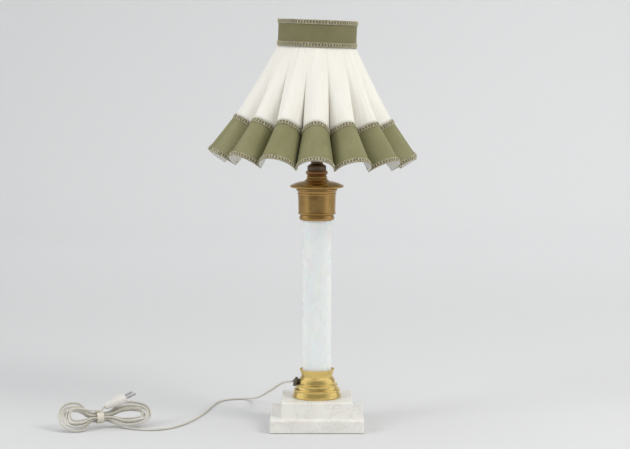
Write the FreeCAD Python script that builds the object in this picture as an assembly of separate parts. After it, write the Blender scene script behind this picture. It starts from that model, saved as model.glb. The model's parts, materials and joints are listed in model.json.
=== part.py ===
"""Column table lamp with a pleated shade, a marble plinth and its own flat mains cord.

Millimetres, +Z up.  The origin is on the table, under the column's axis; -Y is the front.
"""
import FreeCAD, Part
import math
import os

V = FreeCAD.Vector
UP = V(0, 0, 1)
RIGHT = V(1, 0, 0)

# ---------------------------------------------------------------- driving dimensions
# plinth
felt_thickness = 1.0
felt_inset = 5.0
lower_slab_side = 155.6
lower_slab_thickness = 21.2
lower_slab_edge = 3.5
upper_slab_side = 117.6
upper_slab_thickness = 25.4
upper_slab_edge = 2.5

# threaded tube that clamps the stack, and its nuts
rod_radius = 5.0
rod_bore = 4.0
rod_clearance = 0.15
nut_across_flats = 17.0
nut_thickness = 5.0
washer_radius = 15.0
washer_thickness = 2.0
recess_clearance = 3.0
rod_end_play = 3.0

# brass foot, a spun shell
foot_wall = 1.5
foot_bead_radius = 41.2
foot_band_radius = 38.2
foot_ring_radius = 38.9
foot_waist_radius = 34.7
foot_step_radius = 31.2
foot_lip_radius = 29.4
foot_bead_height = 3.8
foot_band_height = 7.0
foot_ring_height = 4.6
foot_waist_height = 8.6
foot_torus_height = 11.2
foot_cup_height = 12.4

# white glass column between two cork seats
column_radius = 24.4
column_wall = 4.5
column_height = 310.4
column_clearance = 0.6
seat_thickness = 1.5

# brass capital
capital_height = 52.7
capital_lower_radius = 28.4
capital_body_radius = 30.9
capital_upper_radius = 31.8
capital_crown_radius = 34.6
capital_plate = 2.0
disc_radius = 45.2
disc_underside = 1.8
disc_edge = 3.4
disc_dome = 6.2
disc_neck_radius = 16.6
disc_neck_rise = 5.6
disc_collar_height = 3.0
ring_radius = 18.95
ring_waist_radius = 15.5
ring_height = 9.5
collar_radius = 15.8
collar_block_height = 8.2
collar_shoulder_height = 3.6
collar_neck_radius = 10.0
collar_neck_height = 4.2
collar_screw_radius = 1.5
collar_screw_heading = 14.0

# lamp holder for a screw cap 27 mm across
holder_radius = 20.0
holder_wall = 0.8
holder_round = 8.0
holder_cap_height = 19.0
holder_shell_height = 38.6
insert_clearance = 0.3
insert_base_height = 17.0
insert_wall = 4.6
thread_radius = 13.2
thread_wall = 0.7
thread_height = 22.0
contact_thickness = 1.2
contact_gap = 0.1
contact_radius = 4.2
terminal_offset = 9.0
terminal_radius = 2.6
terminal_head = 1.8
lead_radius = 0.8
switch_radius = 2.2
switch_offset = 10.0
switch_travel = 3.0
switch_reach = 4.4
switch_button_radius = 3.4
switch_button_length = 2.4

# bulb
bulb_radius = 30.0
bulb_height = 108.0
bulb_neck_radius = 12.6
bulb_wall = 0.8
bulb_pip = 1.5
bulb_cap_clearance = 0.1
bulb_cap_height = 23.0
bulb_stem_radius = 4.5
bulb_stem_height = 34.0
filament_radius = 0.9
filament_height = 26.0
filament_count = 4

# wire bow that carries the shade
saddle_thickness = 2.0
saddle_width = 14.0
bow_wire = 1.6
bow_foot = 26.0
bow_half_width = 53.0
bow_height = 183.0
bow_peg_height = 9.0
ferrule_length = 17.0
ferrule_wall = 1.4
stud_plate_radius = 7.0
stud_plate_thickness = 3.0
stud_radius = 3.1
stud_height = 18.5
stud_clearance = 0.3

# shade: frame, lining, silk cover and the fluted frill round its hem
shade_lean = 2.38
shade_lean_heading = 66.0
shade_seat_gap = 0.45
hub_radius = 11.0
hub_thickness = 2.4
shade_arm_count = 3
shade_arm_wire = 1.8
frame_wire = 1.5
strut_wire = 1.2
strut_count = 5
collar_band_radius = 65.0
collar_band_wall = 0.8
collar_band_height = 43.8
collar_rise = 1.35
ring_inset = 3.6
bottom_ring_radius = 95.2
bottom_ring_drop = 144.25
lining_wall = 0.8
lining_gap = 0.3
lining_drop = 1.6
flute_count = 15
flute_heading = 1.8
frill_peak_radius = 133.3
frill_peak_drop = 114.25
frill_valley_radius = 99.0
frill_valley_drop = 139.75
hem_peak_radius = 176.2
hem_peak_drop = 174.55
hem_valley_radius = 147.6
hem_valley_drop = 194.05
cloth_wall = 0.8
trim_width = 8.0
trim_wall = 1.2
trim_gap = 0.15
trim_cusp = 5.0
collar_trim_radius = 67.0

# finial
finial_radius = 8.5
finial_height = 22.0
finial_insert_radius = 4.6
finial_insert_height = 10.0
finial_gap = 0.5

# cord: its way out of the foot, its free run and the tied hank
cord_radius = 1.8
cord_exit_rise = 26.0
bushing_radius = 8.0
bushing_thickness = 5.2
bushing_tilt = 18.0
bushing_face = 39.4
bushing_nose_radius = 4.2
bushing_seat = 29.5
bushing_end = 25.5
bushing_nut_radius = 6.6
bushing_nut_thickness = 2.4
inner_bend = 10.0
hank_centre = V(-363.0, -30.0, 0)
hank_heading = 20.0
hank_turns = 5
hank_slant = 37.0
hank_left = 70.0
hank_right = 85.0
hank_apex_left = 43.0
hank_apex_right = 50.0
hank_half_left = 27.2
hank_half_right = 23.0
hank_spacing = 4.6
tie_width = 11.5
tie_wall = 1.2
tie_gap = 0.4
plug_length = 36.0
plug_width = 34.0
plug_thickness = 13.6
plug_nose = 12.0
plug_tail_width = 11.0
plug_tail_thickness = 8.6
pin_radius = 2.0
pin_length = 19.0
pin_spacing = 18.6


# ---------------------------------------------------------------- levels, bottom to top
slab_z = felt_thickness
upper_slab_z = slab_z + lower_slab_thickness
foot_z = upper_slab_z + upper_slab_thickness
foot_band_z = foot_z + foot_bead_height
foot_ring_z = foot_band_z + foot_band_height
foot_waist_z = foot_ring_z + foot_ring_height
foot_torus_z = foot_waist_z + foot_waist_height
foot_neck_z = foot_torus_z + foot_torus_height
foot_plate_z = foot_neck_z + foot_wall
foot_lip_z = foot_neck_z + foot_cup_height
lower_seat_z = foot_plate_z
column_z = lower_seat_z + seat_thickness
column_top_z = column_z + column_height
capital_top_z = column_top_z + seat_thickness + capital_plate
capital_z = capital_top_z - capital_height
disc_top_z = capital_top_z + disc_underside + disc_edge + disc_dome
disc_collar_z = disc_top_z + disc_neck_rise
ring_z = disc_collar_z + disc_collar_height
collar_z = ring_z + ring_height
saddle_z = collar_z + collar_block_height + collar_shoulder_height + collar_neck_height
holder_z = saddle_z + saddle_thickness
holder_shell_z = holder_z + holder_cap_height
insert_z = holder_shell_z - 3.0
thread_z = insert_z + insert_base_height
bulb_z = thread_z + contact_thickness + contact_gap
bow_top_z = saddle_z + bow_height
stud_plate_z = bow_top_z + bow_wire
stud_z = stud_plate_z + stud_plate_thickness
hub_z = stud_z + shade_seat_gap
finial_z = hub_z + hub_thickness + finial_gap
collar_bottom_z = round(hub_z + collar_rise, 6)
bottom_ring_z = round(hub_z - bottom_ring_drop, 6)
frill_peak_z = round(hub_z - frill_peak_drop, 6)
frill_valley_z = round(hub_z - frill_valley_drop, 6)
hem_peak_z = round(hub_z - hem_peak_drop, 6)
hem_valley_z = round(hub_z - hem_valley_drop, 6)
cord_exit_height = round(foot_z + cord_exit_rise, 6)
rod_top_z = holder_z + nut_thickness + rod_end_play

foot_neck_radius = column_radius + column_clearance + foot_wall - 0.3
rod_hole = rod_radius + rod_clearance
recess_radius = washer_radius + recess_clearance
recess_depth = rod_end_play + nut_thickness + washer_thickness


# ---------------------------------------------------------------- small makers
parts = {}


def add(name, shape):
    """Keep a finished piece under its own name."""
    parts[name] = shape


def edges_of(start, steps):
    """Lines to single points and three-point arcs to pairs of points, from start."""
    edges = []
    here = start
    for step in steps:
        if isinstance(step, tuple):
            edges.append(Part.Arc(here, step[0], step[1]).toShape())
            here = step[1]
        else:
            edges.append(Part.LineSegment(here, step).toShape())
            here = step
    return edges


def turned(start, *steps):
    """Solid of revolution about Z from an outline of (radius, height) points."""
    def place(point):
        return V(point[0], 0, point[1])

    placed = []
    for step in steps:
        if isinstance(step[0], tuple):
            placed.append((place(step[0]), place(step[1])))
        else:
            placed.append(place(step))
    placed.append(place(start))
    face = Part.Face(Part.Wire(edges_of(place(start), placed)))
    return face.revolve(V(0, 0, 0), UP, 360)


def tube(outer, inner, z, height):
    """Plain upright tube, or a rod where inner is zero."""
    body = Part.makeCylinder(outer, height, V(0, 0, z))
    if inner > 0:
        body = body.cut(Part.makeCylinder(inner, height, V(0, 0, z)))
    return body


def wire_ring(radius, wire, z):
    """Round wire bent to a closed ring."""
    return Part.makeTorus(radius, wire, V(0, 0, z))


def polar(radius, heading, z=0.0):
    """Point at a heading in degrees, from the front (-Y) towards +X."""
    angle = math.radians(heading)
    return V(radius * math.sin(angle), -radius * math.cos(angle), z)


def swept(path_edges, section):
    """Round bar along joined edges."""
    path = Part.Wire(path_edges)
    start = path_edges[0].valueAt(path_edges[0].FirstParameter)
    along = path_edges[0].tangentAt(path_edges[0].FirstParameter)
    circle = Part.Wire(Part.makeCircle(section, start, along))
    return path.makePipeShell([circle], True, False)


def rounded_route(points):
    """Straight runs joined by the largest tangent arcs; returns edges and the radii."""
    edges = []
    radii = []
    here = points[0]
    for before, corner, after in zip(points, points[1:], points[2:]):
        back = before - corner
        ahead = after - corner
        turn = math.pi - back.getAngle(ahead)
        reach = 0.45 * min(back.Length, ahead.Length)
        radii.append(reach / math.tan(turn / 2))
        start = corner + V(back).normalize() * reach
        end = corner + V(ahead).normalize() * reach
        cosine = math.cos(turn / 2)
        middle = (start + end) * 0.5
        crest = middle + (corner - middle) * (cosine / (1 + cosine))
        edges.append(Part.LineSegment(here, start).toShape())
        edges.append(Part.Arc(start, crest, end).toShape())
        here = end
    edges.append(Part.LineSegment(here, points[-1]).toShape())
    return edges, radii


def tangent_arc(start, corner, end):
    """Arc from start to end whose tangents meet at corner."""
    middle = (start + end) * 0.5
    turn = math.pi - (start - corner).getAngle(end - corner)
    cosine = math.cos(turn / 2)
    crest = middle + (corner - middle) * (cosine / (1 + cosine))
    if (crest - middle).Length < 1e-4:
        return Part.LineSegment(start, end).toShape()
    return Part.Arc(start, crest, end).toShape()


def biarc(start, start_way, end, end_way):
    """Two arcs that leave start and reach end along the given unit ways."""
    span = end - start
    ways = start_way + end_way
    across = span.dot(ways)
    bend = 2 * (1 - start_way.dot(end_way))
    if bend < 1e-9:
        reach = span.dot(span) / (2 * across)
    else:
        reach = (math.sqrt(across * across + bend * span.dot(span)) - across) / bend
    first = start + start_way * reach
    second = end - end_way * reach
    joint = (first + second) * 0.5
    return [tangent_arc(start, first, joint), tangent_arc(joint, second, end)]


# ---------------------------------------------------------------- plinth and clamping rod
def slab(side, thickness, z, edge):
    """Square marble slab with worn, rounded edges and a hole for the rod."""
    block = Part.makeBox(side, side, thickness, V(-side / 2, -side / 2, z))
    upright = [e for e in block.Edges if abs(e.tangentAt(0).z) > 0.9]
    block = block.makeFillet(edge, upright)
    rim = [e for e in block.Edges if e.BoundBox.ZMin > z + thickness - 0.01]
    block = block.makeFillet(edge * 0.7, rim)
    return block.cut(Part.makeCylinder(rod_hole, thickness, V(0, 0, z)))


def make_plinth():
    """Felt, the two slabs and the nut and washer in their recess."""
    felt_side = lower_slab_side - 2 * felt_inset
    add("felt_pad", Part.makeBox(felt_side, felt_side, felt_thickness, V(-felt_side / 2, -felt_side / 2, 0)))
    lower = slab(lower_slab_side, lower_slab_thickness, slab_z, lower_slab_edge)
    add("base_slab_lower", lower.cut(Part.makeCylinder(recess_radius, recess_depth, V(0, 0, slab_z))))
    add("base_slab_upper", slab(upper_slab_side, upper_slab_thickness, upper_slab_z, upper_slab_edge))
    nut_z = slab_z + rod_end_play
    add("base_nut", hexagon(nut_across_flats, nut_thickness, nut_z))
    add("base_washer", tube(washer_radius, rod_hole, nut_z + nut_thickness, washer_thickness))


def hexagon(across_flats, thickness, z):
    """Hexagonal nut with a plain bore."""
    corner = across_flats / 2 / math.cos(math.pi / 6)
    corners = [polar(corner, 60 * k, z) for k in range(7)]
    block = Part.Face(Part.makePolygon(corners)).extrude(V(0, 0, thickness))
    return block.cut(Part.makeCylinder(rod_hole, thickness, V(0, 0, z)))


def make_tie_rod():
    """Hollow threaded tube from the base nut to the lamp holder, with a slot for the cord."""
    bottom = slab_z + rod_end_play / 2
    rod = tube(rod_radius, rod_bore, bottom, rod_top_z - bottom)
    slot_height = 2 * inner_bend + 4 * cord_radius
    slot_width = 2 * cord_radius + 2.0
    slot_z = cord_exit_height - 3 * cord_radius
    slot = Part.makeBox(rod_radius + 1, slot_width, slot_height, V(-rod_radius - 1, -slot_width / 2, slot_z))
    add("tie_rod", rod.cut(slot))
    add("top_nut", hexagon(nut_across_flats, nut_thickness, holder_z + holder_wall))


# ---------------------------------------------------------------- brass foot and column
def make_foot():
    """Spun brass foot: bead, plain band, ring, hollow waist, torus and the cup for the column."""
    cup_inner = column_radius + column_clearance
    neck_mid = foot_neck_z + foot_cup_height / 2
    inner_top = foot_neck_radius - 2 * foot_wall
    shell = turned(
        (foot_bead_radius - 1.4, foot_z),
        ((foot_bead_radius, foot_z + foot_bead_height * 0.5), (foot_bead_radius - 0.9, foot_band_z)),
        (foot_band_radius, foot_ring_z),
        ((foot_ring_radius, foot_ring_z + foot_ring_height * 0.45), (foot_ring_radius - 1.1, foot_waist_z - 0.6)),
        (foot_waist_radius + 1.2, foot_waist_z),
        ((foot_waist_radius + 0.1, foot_waist_z + 3.0), (foot_waist_radius, foot_waist_z + 5.4)),
        ((foot_waist_radius - 0.5, foot_waist_z + 7.2), (foot_step_radius + 1.3, foot_torus_z - 0.8)),
        (foot_step_radius, foot_torus_z),
        ((foot_step_radius - 1.0, foot_torus_z + 5.2), (foot_neck_radius + 0.3, foot_neck_z - 0.4)),
        (foot_neck_radius, foot_neck_z),
        ((foot_neck_radius + 0.9, neck_mid - 0.6), (foot_lip_radius, foot_lip_z - 0.8)),
        (foot_lip_radius, foot_lip_z),
        (foot_lip_radius - foot_wall + 0.4, foot_lip_z),
        ((foot_neck_radius - 0.35, neck_mid), (cup_inner, foot_plate_z + 2.4)),
        (cup_inner, foot_plate_z),
        (rod_hole, foot_plate_z),
        (rod_hole, foot_plate_z - foot_wall - 0.6),
        (inner_top, foot_plate_z - foot_wall - 0.6),
        (foot_bead_radius - 2.7 * foot_wall, foot_z + 8.0),
        (foot_bead_radius - 2 * foot_wall, foot_z))
    hole_start = V(-bushing_face, 0, cord_exit_height)
    hole = Part.makeCylinder(bushing_nose_radius + 0.2, bushing_face - bushing_end, hole_start, RIGHT)
    spot_start = V(-bushing_seat, 0, cord_exit_height)
    spot = Part.makeCylinder(bushing_nut_radius + 0.5, bushing_seat - rod_hole, spot_start, RIGHT)
    add("foot_shell", shell.cut(hole.fuse(spot)))


def make_column():
    """White glass tube standing between two cork seats."""
    bore = column_radius - column_wall
    add("lower_column_seat", tube(column_radius - 0.4, rod_hole, lower_seat_z, seat_thickness))
    add("column_tube", tube(column_radius, bore, column_z, column_height))
    add("upper_column_seat", tube(column_radius - 0.4, rod_hole, column_top_z, seat_thickness))


# ---------------------------------------------------------------- brass capital
def make_capital():
    """Cup over the column's head, wide domed disc, pointed ring and the dark locking collar."""
    inner = column_radius + column_clearance
    plate_z = capital_top_z - capital_plate
    body_z = capital_z + 13.0
    crown_z = capital_top_z - 10.5
    add("capital_shell", turned(
        (inner, capital_z),
        (capital_lower_radius, capital_z),
        ((capital_lower_radius + 1.1, capital_z + 3.0), (capital_lower_radius + 0.1, capital_z + 6.6)),
        (capital_lower_radius - 0.1, capital_z + 8.2),
        (capital_body_radius, body_z - 3.2),
        ((capital_body_radius + 0.8, body_z - 1.6), (capital_body_radius, body_z)),
        (capital_upper_radius, crown_z),
        ((capital_upper_radius + 0.8, crown_z + 1.7), (capital_upper_radius + 0.1, crown_z + 3.4)),
        ((capital_upper_radius + 0.6, crown_z + 5.4), (capital_crown_radius, crown_z + 7.2)),
        (capital_crown_radius, capital_top_z - 0.6),
        (capital_crown_radius - 1.0, capital_top_z),
        (rod_hole, capital_top_z),
        (rod_hole, plate_z),
        (inner, plate_z)))
    edge_z = capital_top_z + disc_underside
    rim_z = edge_z + disc_edge
    add("cap_disc", turned(
        (capital_crown_radius - 1.2, capital_top_z),
        (capital_crown_radius + 1.4, capital_top_z),
        (disc_radius - 1.0, edge_z),
        ((disc_radius, edge_z + disc_edge * 0.5), (disc_radius - 0.8, rim_z)),
        ((disc_radius * 0.8, rim_z + disc_dome * 0.6), (disc_radius * 0.61, disc_top_z)),
        ((disc_neck_radius + 3.4, disc_top_z + 1.9), (disc_neck_radius, disc_collar_z)),
        ((disc_neck_radius + 0.7, disc_collar_z + disc_collar_height * 0.5), (disc_neck_radius, ring_z)),
        (rod_hole, ring_z),
        (rod_hole, disc_top_z + 0.4),
        (disc_neck_radius - 3.0, disc_top_z + 0.4),
        (capital_crown_radius - 4.5, capital_top_z + disc_underside + disc_edge),
        (capital_crown_radius - 3.6, capital_top_z)))
    point_z = ring_z + ring_height * 0.67
    add("neck_ring", turned(
        (rod_hole, ring_z),
        (ring_waist_radius, ring_z),
        (ring_waist_radius + 0.4, ring_z + 1.1),
        (ring_radius - 0.8, point_z - 1.5),
        ((ring_radius, point_z), (ring_radius - 0.8, point_z + 1.5)),
        (ring_waist_radius + 0.2, collar_z),
        (rod_hole, collar_z)))


def make_locking_collar():
    """Dark turned collar with a chamfered shoulder and a radial clamping screw."""
    block_top = collar_z + collar_block_height
    shoulder_top = block_top + collar_shoulder_height
    collar = turned(
        (rod_hole, collar_z),
        (collar_radius - 0.6, collar_z),
        (collar_radius, collar_z + 1.0),
        (collar_radius, block_top - 1.2),
        (collar_radius - 0.8, block_top),
        (collar_neck_radius + 0.6, shoulder_top - 0.4),
        (collar_neck_radius, shoulder_top + 0.2),
        (collar_neck_radius, saddle_z),
        (rod_hole, saddle_z))
    screw_z = collar_z + collar_block_height * 0.53
    way = polar(1, collar_screw_heading)
    start = way * (rod_hole + 0.2) + V(0, 0, screw_z)
    add("locking_collar", collar.cut(Part.makeCylinder(collar_screw_radius + 0.1, collar_radius, start, way)))
    length = collar_radius - 1.0 - rod_hole
    screw = Part.makeCylinder(collar_screw_radius, length, start, way)
    slot = Part.makeBox(1.2, 0.6, 4 * collar_screw_radius, V(-0.6, -0.3, -2 * collar_screw_radius))
    slot.rotate(V(0, 0, 0), UP, collar_screw_heading)
    slot.translate(start + way * length)
    add("collar_screw", screw.cut(slot))


# ---------------------------------------------------------------- bow that carries the shade
def make_bow():
    """Flat saddle under the holder, bow of round wire, its ferrules and the threaded stud."""
    saddle = Part.makeBox(2 * bow_foot, saddle_width * 0.6, saddle_thickness,
                          V(-bow_foot, -saddle_width * 0.3, saddle_z))
    saddle = saddle.fuse(tube(saddle_width * 0.86, 0, saddle_z, saddle_thickness))
    for side in (-1, 1):
        foot = V(side * bow_foot, 0, saddle_z)
        saddle = saddle.fuse(Part.makeCylinder(saddle_width * 0.3, saddle_thickness, foot))
        saddle = saddle.fuse(Part.makeCylinder(bow_wire, saddle_thickness + bow_peg_height, foot))
    add("bow_saddle", saddle.cut(tube(rod_hole, 0, saddle_z, saddle_thickness)).removeSplitter())

    foot_z_top = holder_z + bow_peg_height + 0.3
    shoulder_z = saddle_z + bow_height * 0.36
    half = [V(bow_foot, 0, foot_z_top),
            V(bow_foot, 0, foot_z_top + bow_height * 0.12),
            V(bow_half_width, 0, shoulder_z),
            V(bow_half_width, 0, saddle_z + bow_height * 0.66),
            V(bow_half_width * 0.68, 0, saddle_z + bow_height * 0.93),
            V(stud_plate_radius + 4.0, 0, bow_top_z)]
    mirrored = [V(-p.x, p.y, p.z) for p in reversed(half)]
    edges, radii = rounded_route(half + mirrored)
    add("bow_wire", swept(edges, bow_wire))
    print("bow bends", [round(r, 1) for r in radii])

    ferrules = []
    for side in (-1, 1):
        at = V(side * bow_foot, 0, holder_z)
        sleeve = Part.makeCylinder(bow_wire + ferrule_wall, ferrule_length, at)
        ferrules.append(sleeve.cut(Part.makeCylinder(bow_wire + 0.05, ferrule_length, at)))
    add("bow_ferrules", Part.makeCompound(ferrules))
    plate = tube(stud_plate_radius, 0, stud_plate_z, stud_plate_thickness)
    add("bow_stud", plate.fuse(tube(stud_radius, 0, stud_z, stud_height)).removeSplitter())


# ---------------------------------------------------------------- lamp holder and switch
def make_holder():
    """Brass cap and sleeve round a porcelain insert with its thread, contact and terminals."""
    inner = holder_radius - holder_wall
    share = math.sqrt(0.5)
    wall_z = holder_z + holder_round
    centre = holder_radius - holder_round
    reach = holder_round * share
    inner_reach = (holder_round - holder_wall) * share
    cap = turned(
        (rod_hole, holder_z),
        (centre, holder_z),
        ((centre + reach, wall_z - reach), (holder_radius, wall_z)),
        (holder_radius, holder_shell_z),
        (inner, holder_shell_z),
        (inner, wall_z),
        ((centre + inner_reach, wall_z - inner_reach), (centre, holder_z + holder_wall)),
        (rod_hole, holder_z + holder_wall))
    bar_z = holder_z + holder_cap_height * 0.55
    bar_start = V(-2 * holder_radius, -switch_offset, bar_z)
    cap = cap.cut(Part.makeCylinder(switch_radius + 0.1, 4 * holder_radius, bar_start, RIGHT))
    add("holder_cap", cap)

    rim = holder_radius + 0.5
    top = holder_shell_z + holder_shell_height
    add("holder_shell", turned(
        (inner, holder_shell_z),
        (rim, holder_shell_z),
        (rim, holder_shell_z + 2.0),
        (holder_radius, holder_shell_z + 2.6),
        (holder_radius, top - 2.6),
        (rim, top - 2.0),
        (rim, top),
        (inner, top)))

    insert_radius = inner - insert_clearance
    cavity = insert_radius - insert_wall
    insert = tube(insert_radius, 0, insert_z, top - insert_z)
    insert = insert.cut(tube(cavity, 0, thread_z, top - thread_z))
    for side in (-1, 1):
        at = V(side * terminal_offset, 0, insert_z)
        insert = insert.cut(Part.makeCylinder(terminal_radius * 0.6 + 0.1, insert_base_height * 0.5, at))
    add("holder_insert", insert)
    add("socket_thread", tube(thread_radius + thread_wall, thread_radius, thread_z, thread_height))
    add("socket_contact", tube(contact_radius, 0, thread_z, contact_thickness))

    screws = []
    for side in (-1, 1):
        head = Part.makeCylinder(terminal_radius, terminal_head,
                                 V(side * terminal_offset, 0, insert_z - terminal_head))
        shank = Part.makeCylinder(terminal_radius * 0.6, insert_base_height * 0.4,
                                  V(side * terminal_offset, 0, insert_z))
        screws.append(head.fuse(shank).removeSplitter())
    add("terminal_screws", Part.makeCompound(screws))

    leads = []
    for side in (-1, 1):
        start = V(side * rod_bore * 0.5, 0, holder_z + nut_thickness)
        corner = V(side * rod_bore * 0.5, 0, insert_z - terminal_head - 3.0)
        foot = V(side * terminal_offset, 0, insert_z - terminal_head - lead_radius)
        bend = corner + V(0, 0, -2.5)
        leave = corner + (foot - corner) * 0.4
        edges = [Part.LineSegment(start, bend).toShape(), tangent_arc(bend, corner, leave),
                 Part.LineSegment(leave, foot).toShape()]
        leads.append(swept(edges, lead_radius))
    add("holder_leads", Part.makeCompound(leads))

    chord = math.sqrt(holder_radius ** 2 - switch_offset ** 2)
    left = -chord - switch_reach - switch_travel
    right = chord + switch_reach
    bar = Part.makeCylinder(switch_radius, right - left, V(left, -switch_offset, bar_z), RIGHT)
    for end in (left, right - switch_button_length):
        at = V(end, -switch_offset, bar_z)
        bar = bar.fuse(Part.makeCylinder(switch_button_radius, switch_button_length, at, RIGHT))
    add("switch_bar", bar.removeSplitter())


def make_bulb():
    """Pear-shaped bulb: glass, screw cap, contact with its insulator, stem and filaments."""
    cap_radius = thread_radius - bulb_cap_clearance
    cap_z = bulb_z + 3.0
    cap_top = cap_z + bulb_cap_height
    top_z = bulb_z + bulb_height
    globe_z = top_z - bulb_radius
    shoulder = V(bulb_radius * 0.93, 0, globe_z - bulb_radius * 0.37)
    inside = bulb_radius - bulb_wall
    add("bulb_contact", turned(
        (0, bulb_z), (3.6, bulb_z), (4.6, bulb_z + 1.2), (8.6, cap_z), (0, cap_z)))
    add("bulb_cap", turned(
        (0, cap_z), (9.4, cap_z), (cap_radius, cap_z + 3.4), (cap_radius, cap_top),
        (cap_radius - 0.4, cap_top), (cap_radius - 0.4, cap_z + 3.8), (9.2, cap_z + 0.5), (0, cap_z + 0.5)))
    add("bulb_glass", turned(
        (bulb_neck_radius, cap_z + 6.0),
        (bulb_neck_radius, cap_top + 2.0),
        ((18.6, cap_top + 19.0), (shoulder.x, shoulder.z)),
        ((bulb_radius, globe_z), (bulb_radius * 0.707, globe_z + bulb_radius * 0.707)),
        ((bulb_radius * 0.383, globe_z + bulb_radius * 0.924), (bulb_pip, top_z)),
        (0, top_z),
        (0, top_z - bulb_wall),
        (bulb_pip, top_z - bulb_wall),
        ((inside * 0.383, globe_z + inside * 0.924), (inside * 0.707, globe_z + inside * 0.707)),
        ((inside, globe_z), (shoulder.x - bulb_wall, shoulder.z + 0.3)),
        ((18.6 - bulb_wall, cap_top + 19.4), (bulb_neck_radius - bulb_wall, cap_top + 2.2)),
        (bulb_neck_radius - bulb_wall, cap_z + 6.0)))
    stem_z = cap_z + 6.0
    add("bulb_stem", turned(
        (0, stem_z), (bulb_neck_radius - bulb_wall - 0.1, stem_z), (bulb_stem_radius, stem_z + 9.0),
        (bulb_stem_radius * 0.7, stem_z + bulb_stem_height), (0, stem_z + bulb_stem_height)))
    rods = []
    for k in range(filament_count):
        foot = polar(bulb_stem_radius + 1.6, 360 * k / filament_count, stem_z + bulb_stem_height * 0.72)
        rods.append(Part.makeCylinder(filament_radius, filament_height, foot))
    add("bulb_filaments", Part.makeCompound(rods))


# ---------------------------------------------------------------- shade
# A rim is one half flute seen in plan: its valley, middle and peak as (across, outward, height).
half_pitch = math.radians(180.0 / flute_count)


def fluted_rim(peak_radius, peak_z, valley_radius, valley_z):
    """Quarter of an ellipse from the valley to the peak."""
    across = valley_radius * math.sin(half_pitch)
    chord = valley_radius * math.cos(half_pitch)
    out = peak_radius - chord
    share = math.sqrt(0.5)
    return [(across, chord, valley_z),
            (across * share, chord + out * share, valley_z + (peak_z - valley_z) * share),
            (0.0, peak_radius, peak_z)]


def round_rim(radius, z):
    """Plain circle cut into the same half flutes."""
    return [(radius * math.sin(half_pitch), radius * math.cos(half_pitch), z),
            (radius * math.sin(half_pitch / 2), radius * math.cos(half_pitch / 2), z),
            (0.0, radius, z)]


def between(rim, other, share):
    """Rim part of the way from one to the other."""
    return [tuple(a + (b - a) * share for a, b in zip(p, q)) for p, q in zip(rim, other)]


def inset(rim, depth, valley_depth):
    """Rim moved inwards in plan; a negative depth moves it outwards."""
    valley, middle, peak = rim
    run = math.hypot(valley[0], peak[1] - valley[1])
    side = (peak[1] - valley[1]) / run
    out = valley[0] / run
    scale = (valley[1] - valley_depth) / valley[1]
    return [(valley[0] * scale, valley[1] * scale, valley[2]),
            (middle[0] - side * depth, middle[1] - out * depth, middle[2]),
            (0.0, peak[1] - depth, peak[2])]


def rim_arcs(rim):
    """All the half-flute arcs of a rim, round the shade."""
    arcs = []
    for k in range(flute_count):
        angle = math.radians(flute_heading + 360.0 * k / flute_count)
        outward = V(math.sin(angle), -math.cos(angle), 0)
        along = V(math.cos(angle), math.sin(angle), 0)
        for side in (-1, 1):
            points = [along * (side * p[0]) + outward * p[1] + V(0, 0, p[2]) for p in rim]
            if side < 0:
                arcs.append(Part.Arc(points[0], points[1], points[2]).toShape())
            else:
                arcs.append(Part.Arc(points[2], points[1], points[0]).toShape())
    return arcs


def cloth(*rims):
    """Closed skin ruled between rims taken in order, the last one back to the first."""
    rows = [rim_arcs(rim) for rim in rims]
    faces = []
    for row, following in zip(rows, rows[1:] + rows[:1]):
        for first, second in zip(row, following):
            faces.append(Part.makeRuledSurface(first, second))
    shell = Part.makeShell(faces)
    shell.sewShape()
    solid = Part.makeSolid(Part.Shell(shell.Faces))
    if solid.Volume < 0:
        solid.reverse()
    return solid


def leaned(shape):
    """The shade sits a little askew on its stud."""
    axis = polar(1, shade_lean_heading + 90)
    turned_shape = shape.copy()
    turned_shape.rotate(V(0, 0, hub_z), axis, shade_lean)
    return turned_shape


def cone_wall(top_radius, top_z, bottom_radius, bottom_z, wall):
    """Plain conical skin."""
    return turned((top_radius, top_z), (top_radius - wall, top_z),
                  (bottom_radius - wall, bottom_z), (bottom_radius, bottom_z))


def make_shade_frame():
    """Three wire rings, straight struts, arms and the hub that sits on the stud."""
    top_z = collar_bottom_z + collar_band_height
    ring_r = collar_band_radius - ring_inset
    waist_z = collar_bottom_z + frame_wire + 0.4
    crown_z = top_z - frame_wire - 0.4
    crown_r = collar_band_radius - collar_band_wall - frame_wire - 0.3
    waist = wire_ring(ring_r, frame_wire, waist_z)
    crown = wire_ring(crown_r, frame_wire, crown_z)
    bottom = wire_ring(bottom_ring_radius, frame_wire, bottom_ring_z)
    add("shade_waist_ring", leaned(waist))
    add("shade_crown_ring", leaned(crown))
    add("shade_bottom_ring", leaned(bottom))

    struts = []
    for k in range(strut_count):
        heading = flute_heading + 180.0 / flute_count + 360.0 * k / strut_count
        bar = rod_between(polar(ring_r, heading, waist_z), polar(bottom_ring_radius, heading, bottom_ring_z),
                          strut_wire)
        post = rod_between(polar(ring_r, heading, waist_z), polar(crown_r, heading, crown_z), strut_wire)
        struts += [bar.cut(waist).cut(bottom), post.cut(waist).cut(crown)]
    add("shade_struts", leaned(Part.makeCompound(struts)))

    hub = tube(hub_radius, stud_radius + stud_clearance, hub_z, hub_thickness)
    add("shade_hub", leaned(hub))
    arms = []
    for k in range(shade_arm_count):
        heading = flute_heading + 360.0 * (k + 0.5) / shade_arm_count
        start = polar(hub_radius - 1.0, heading, hub_z + hub_thickness / 2)
        arm = rod_between(start, polar(ring_r, heading, waist_z), shade_arm_wire * 0.65)
        arms.append(arm.cut(hub).cut(waist))
    add("shade_arms", leaned(Part.makeCompound(arms)))


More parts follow.
